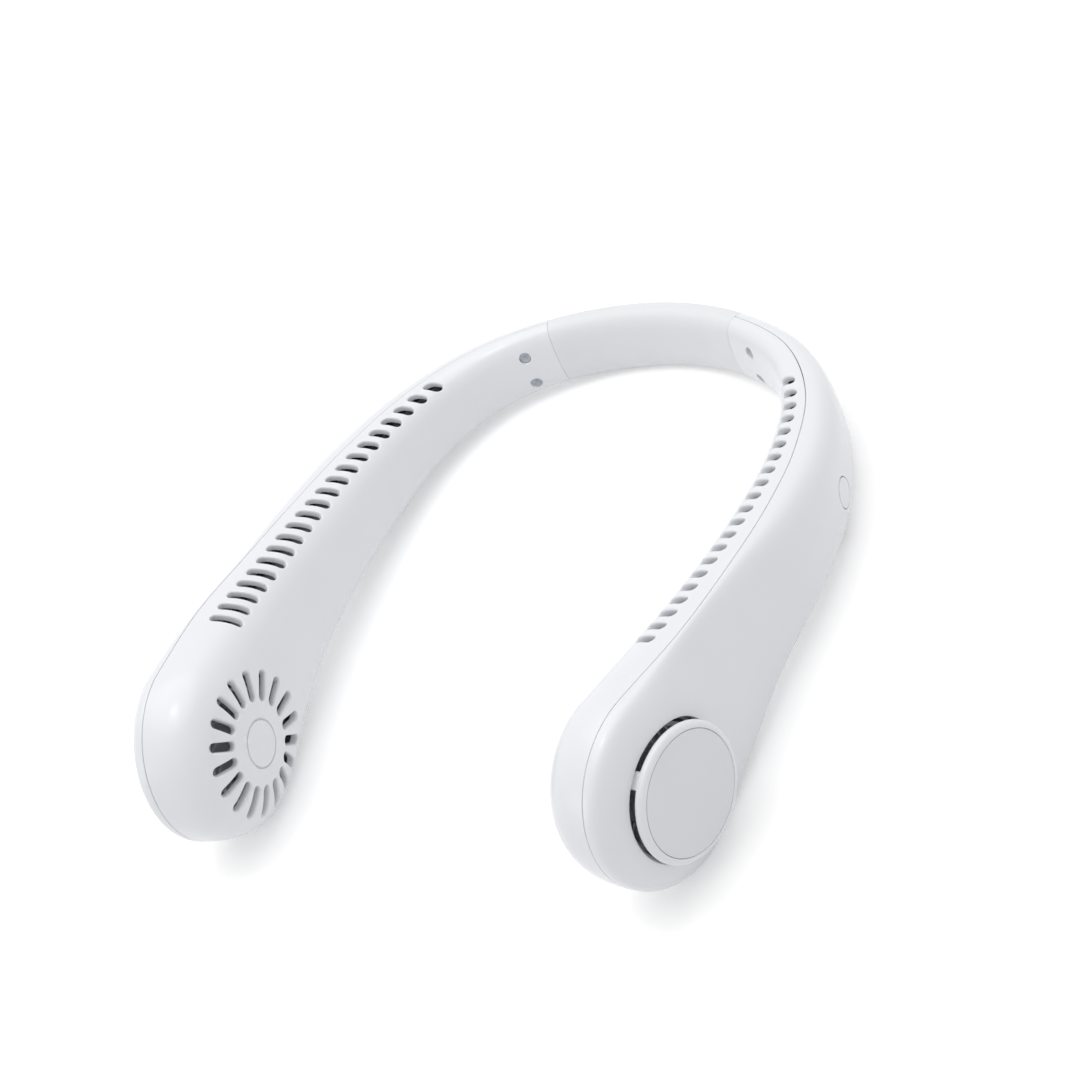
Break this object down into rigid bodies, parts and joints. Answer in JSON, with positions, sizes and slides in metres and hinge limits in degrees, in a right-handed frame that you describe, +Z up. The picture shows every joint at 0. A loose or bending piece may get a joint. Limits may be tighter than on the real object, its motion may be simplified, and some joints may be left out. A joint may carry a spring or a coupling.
{
  "type": "electric neck fan",
  "caption": "Bladeless electric neck fan: hollow arms with a fan pod at each front end and slot outlets on top, joined behind the neck by a soft flexible band.",
  "frame": {"origin": "centre of the bounding box in plan, on the ground that the pods and the band lie on", "axes": "+X to the wearer's left, +Y from the open front towards the band behind the neck, +Z up"},
  "size_m": [0.1904, 0.2059, 0.0579],
  "materials": {
    "shell": "polished white moulded ABS",
    "cap": "polished white moulded ABS",
    "cap_plate": "polished white moulded ABS inlay",
    "button": "polished white moulded ABS",
    "band_sleeve": "smooth soft-touch white silicone",
    "spine_steel": "blued spring steel",
    "wire_jacket": "smooth black jacket",
    "inner_moulding": "plain moulded dark grey ABS",
    "stator_steel": "varnished lamination stack",
    "coil_copper": "enamelled copper wire",
    "bearing_steel": "ground steel",
    "rotor_steel": "drawn steel",
    "magnet": "coated magnet",
    "impeller": "moulded light grey plastic",
    "battery_wrap": "blue shrink wrap on a metal can",
    "board": "solder mask",
    "switch_body": "moulded black plastic",
    "socket_steel": "plated steel shell",
    "screw_steel": "plated steel"
  },
  "bodies": {
    "right_arm": {"right_band_insert": "inner_moulding", "right_inner_shell": "shell", "right_outer_shell": "shell", "right_intake_cap": "cap", "right_cap_plate": "cap_plate", "right_motor_base": "inner_moulding", "right_stator": "stator_steel", "right_motor_coils": "coil_copper", "right_bearing": "bearing_steel", "right_volute": "inner_moulding", "right_duct_floor": "inner_moulding", "right_battery": "battery_wrap", "right_band_screws": "screw_steel", "right_motor_screws": "screw_steel", "right_wire_loom": "wire_jacket", "neck_band_sleeve": "band_sleeve", "neck_band_spine": "spine_steel", "neck_band_harness": "wire_jacket"},
    "left_arm": {"left_band_insert": "inner_moulding", "left_inner_shell": "shell", "left_outer_shell": "shell", "left_intake_cap": "cap", "left_cap_plate": "cap_plate", "left_motor_base": "inner_moulding", "left_stator": "stator_steel", "left_motor_coils": "coil_copper", "left_bearing": "bearing_steel", "left_volute": "inner_moulding", "left_duct_floor": "inner_moulding", "left_battery": "battery_wrap", "left_band_screws": "screw_steel", "left_motor_screws": "screw_steel", "left_wire_loom": "wire_jacket", "control_board": "board", "tact_switch": "switch_body", "usb_socket": "socket_steel"},
    "right_fan": {"right_rotor": "rotor_steel", "right_magnet_ring": "magnet", "right_impeller": "impeller"},
    "left_fan": {"left_rotor": "rotor_steel", "left_magnet_ring": "magnet", "left_impeller": "impeller"},
    "power_button": {"power_button": "button"}
  },
  "joints": [
    {"name": "neck_flex", "type": "hinge", "parent": "right_arm", "child": "left_arm", "pos_m": [0, 0.09492, 0.01122], "axis": [0, 0.222, 0.975], "range_deg": [-12, 30], "stiffness_Nm_per_rad": 1.5, "deforming": ["neck_band_sleeve", "neck_band_spine", "neck_band_harness"]},
    {"name": "right_fan_spin", "type": "hinge", "parent": "right_arm", "child": "right_fan", "pos_m": [-0.0816, -0.07463, 0.02741], "axis": [-0.987, -0.1567, 0.0357], "continuous": true},
    {"name": "left_fan_spin", "type": "hinge", "parent": "left_arm", "child": "left_fan", "pos_m": [0.0816, -0.07463, 0.02741], "axis": [0.987, -0.1567, 0.0357], "continuous": true},
    {"name": "button_press", "type": "slide", "parent": "left_arm", "child": "power_button", "axis": [-0.9766, -0.2095, 0.0477], "range_m": [0, 0.0005], "stiffness_N_per_m": 400}
  ]
}
